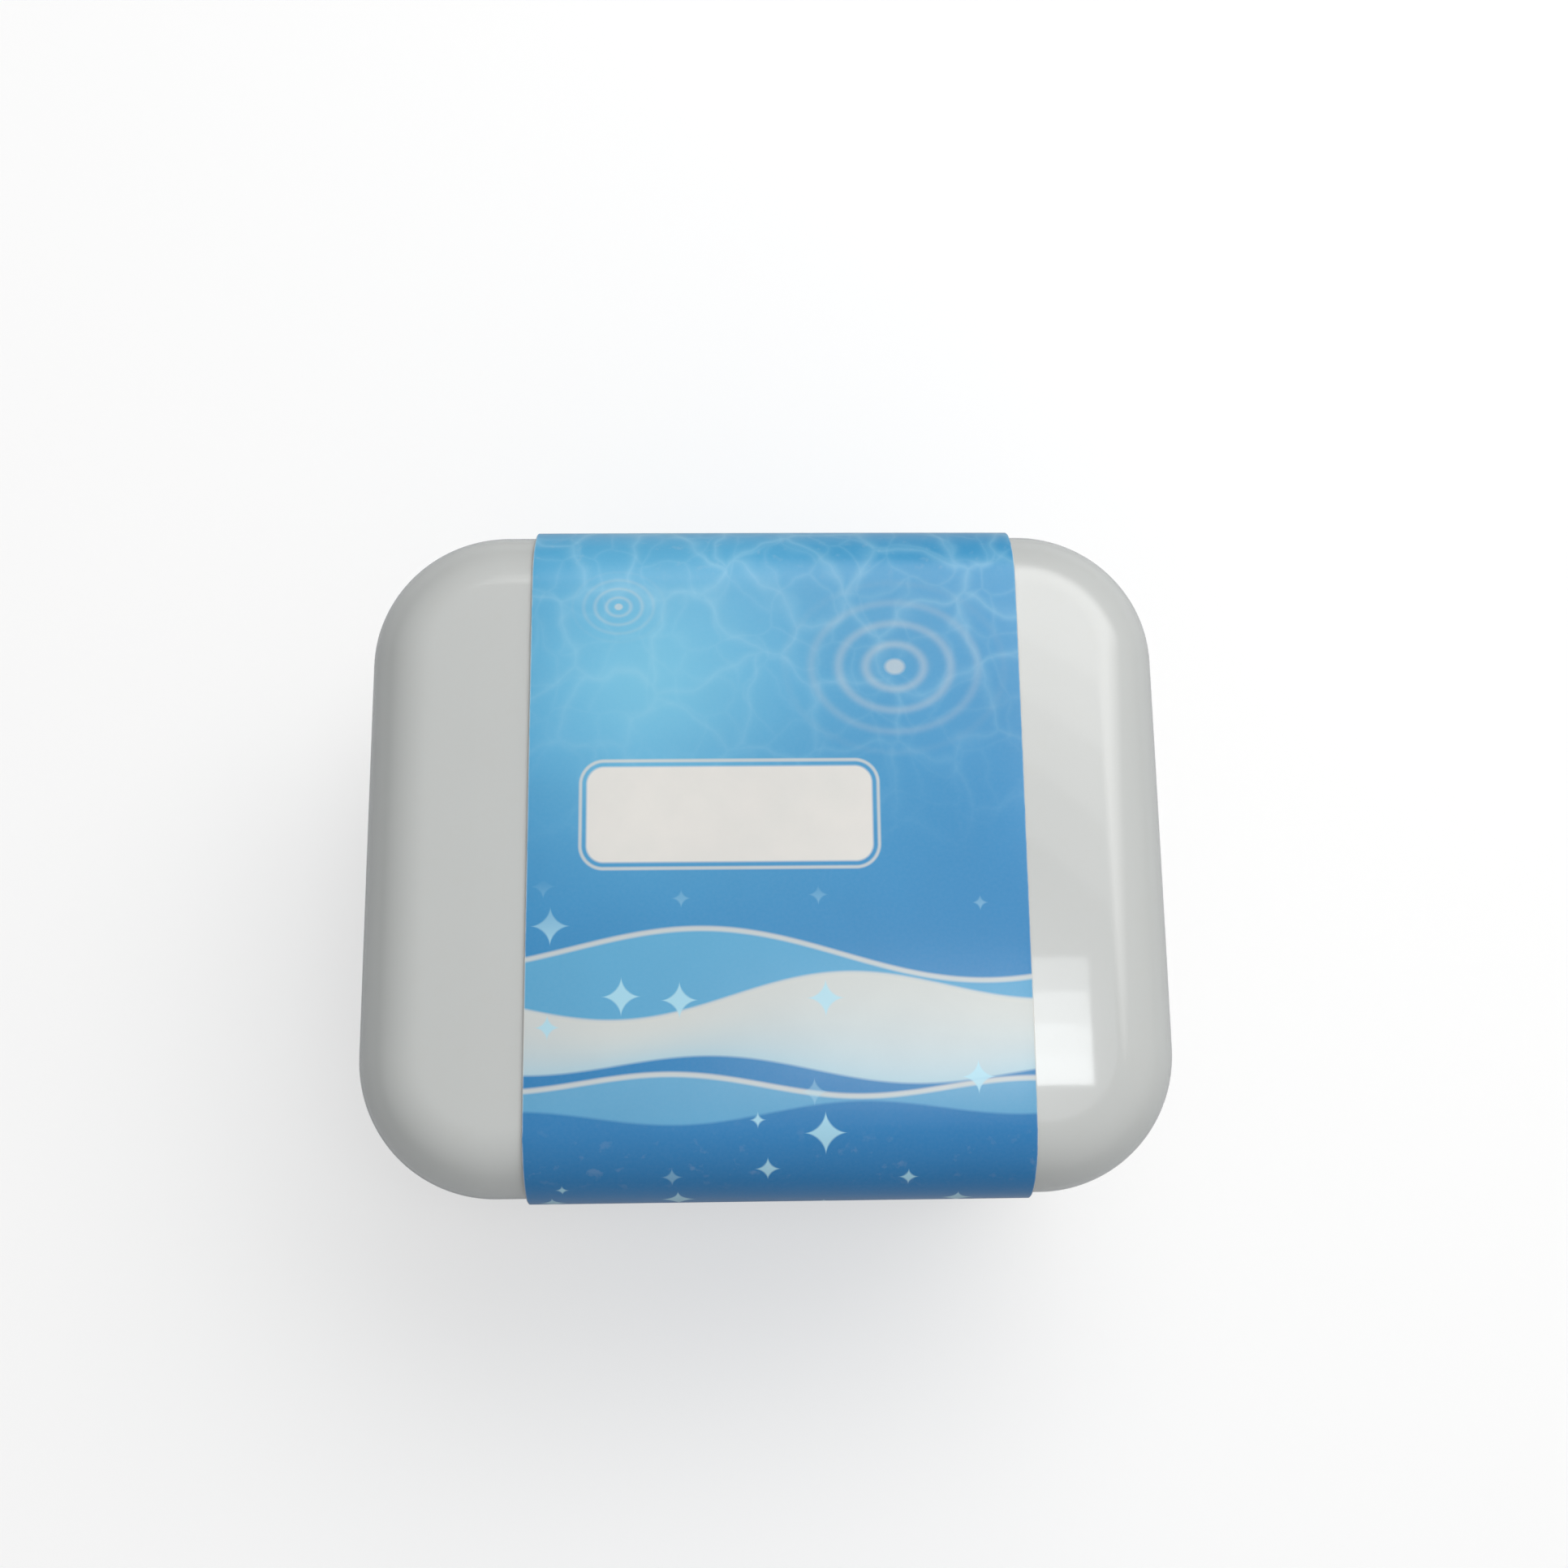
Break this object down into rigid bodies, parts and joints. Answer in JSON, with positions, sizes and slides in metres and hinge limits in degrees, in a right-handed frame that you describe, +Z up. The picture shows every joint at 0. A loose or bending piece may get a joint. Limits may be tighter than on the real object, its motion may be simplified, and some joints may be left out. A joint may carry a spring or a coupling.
{
  "type": "denture case",
  "caption": "Rounded two-part plastic denture case with a hinged lid, front push latch, lift-out rinsing basket with folding handle, and a printed card sleeve round its middle.",
  "frame": {"origin": "on the floor, under the middle of the case", "axes": "+X to the right along the lid's width, +Y to the hinge at the back, the latch faces -Y, +Z up"},
  "size_m": [0.095, 0.0808, 0.063],
  "materials": {
    "case_plastic": "glossy moulded plastic, pale grey-white",
    "lid_plastic": "glossy moulded plastic, white",
    "silicone": "satin silicone",
    "steel": "drawn steel",
    "button_plastic": "glossy moulded plastic, light blue",
    "basket_plastic": "glossy moulded plastic, pale blue-white",
    "printed_card": "coated card, printed in blue, glossy"
  },
  "bodies": {
    "case": {"tub": "case_plastic", "hinge_pin_left": "steel", "hinge_pin_right": "steel", "latch_bezel": "case_plastic", "latch_spring": "steel"},
    "lid": {"lid": "lid_plastic", "lid_seal": "silicone"},
    "button": {"latch_button": "button_plastic"},
    "basket": {"rinsing_basket": "basket_plastic"},
    "handle": {"basket_handle": "basket_plastic"},
    "sleeve": {"sleeve_lower": "printed_card"},
    "sleeve_flap": {"sleeve_upper": "printed_card"}
  },
  "joints": [
    {"name": "lid_hinge", "type": "hinge", "parent": "case", "child": "lid", "pos_m": [0, 0.0378, 0.041], "axis": [-1, 0, 0], "range_deg": [0, 105]},
    {"name": "basket_lift", "type": "slide", "parent": "case", "child": "basket", "axis": [0, 0, 1], "range_m": [0, 0.048]},
    {"name": "handle_swing", "type": "hinge", "parent": "basket", "child": "handle", "pos_m": [0, 0, 0.031], "axis": [-1, 0, 0], "range_deg": [0, 90]},
    {"name": "latch_press", "type": "slide", "parent": "case", "child": "button", "axis": [0, 1, 0], "range_m": [0, 0.0012], "stiffness_N_per_m": 2000, "springref_m": -0.0005, "deforming": ["latch_spring"]},
    {"name": "sleeve_slide", "type": "slide", "parent": "case", "child": "sleeve", "axis": [1, 0, 0], "range_m": [0, 0.08]},
    {"name": "sleeve_fold", "type": "hinge", "parent": "sleeve", "child": "sleeve_flap", "pos_m": [0, 0.0378, 0.041], "axis": [-1, 0, 0], "range_deg": [0, 105]}
  ],
  "couplings": [
    {"joint": "basket_lift", "follows": "lid_hinge", "m_per_rad": 0.026},
    {"joint": "sleeve_fold", "follows": "lid_hinge", "ratio": 1}
  ]
}
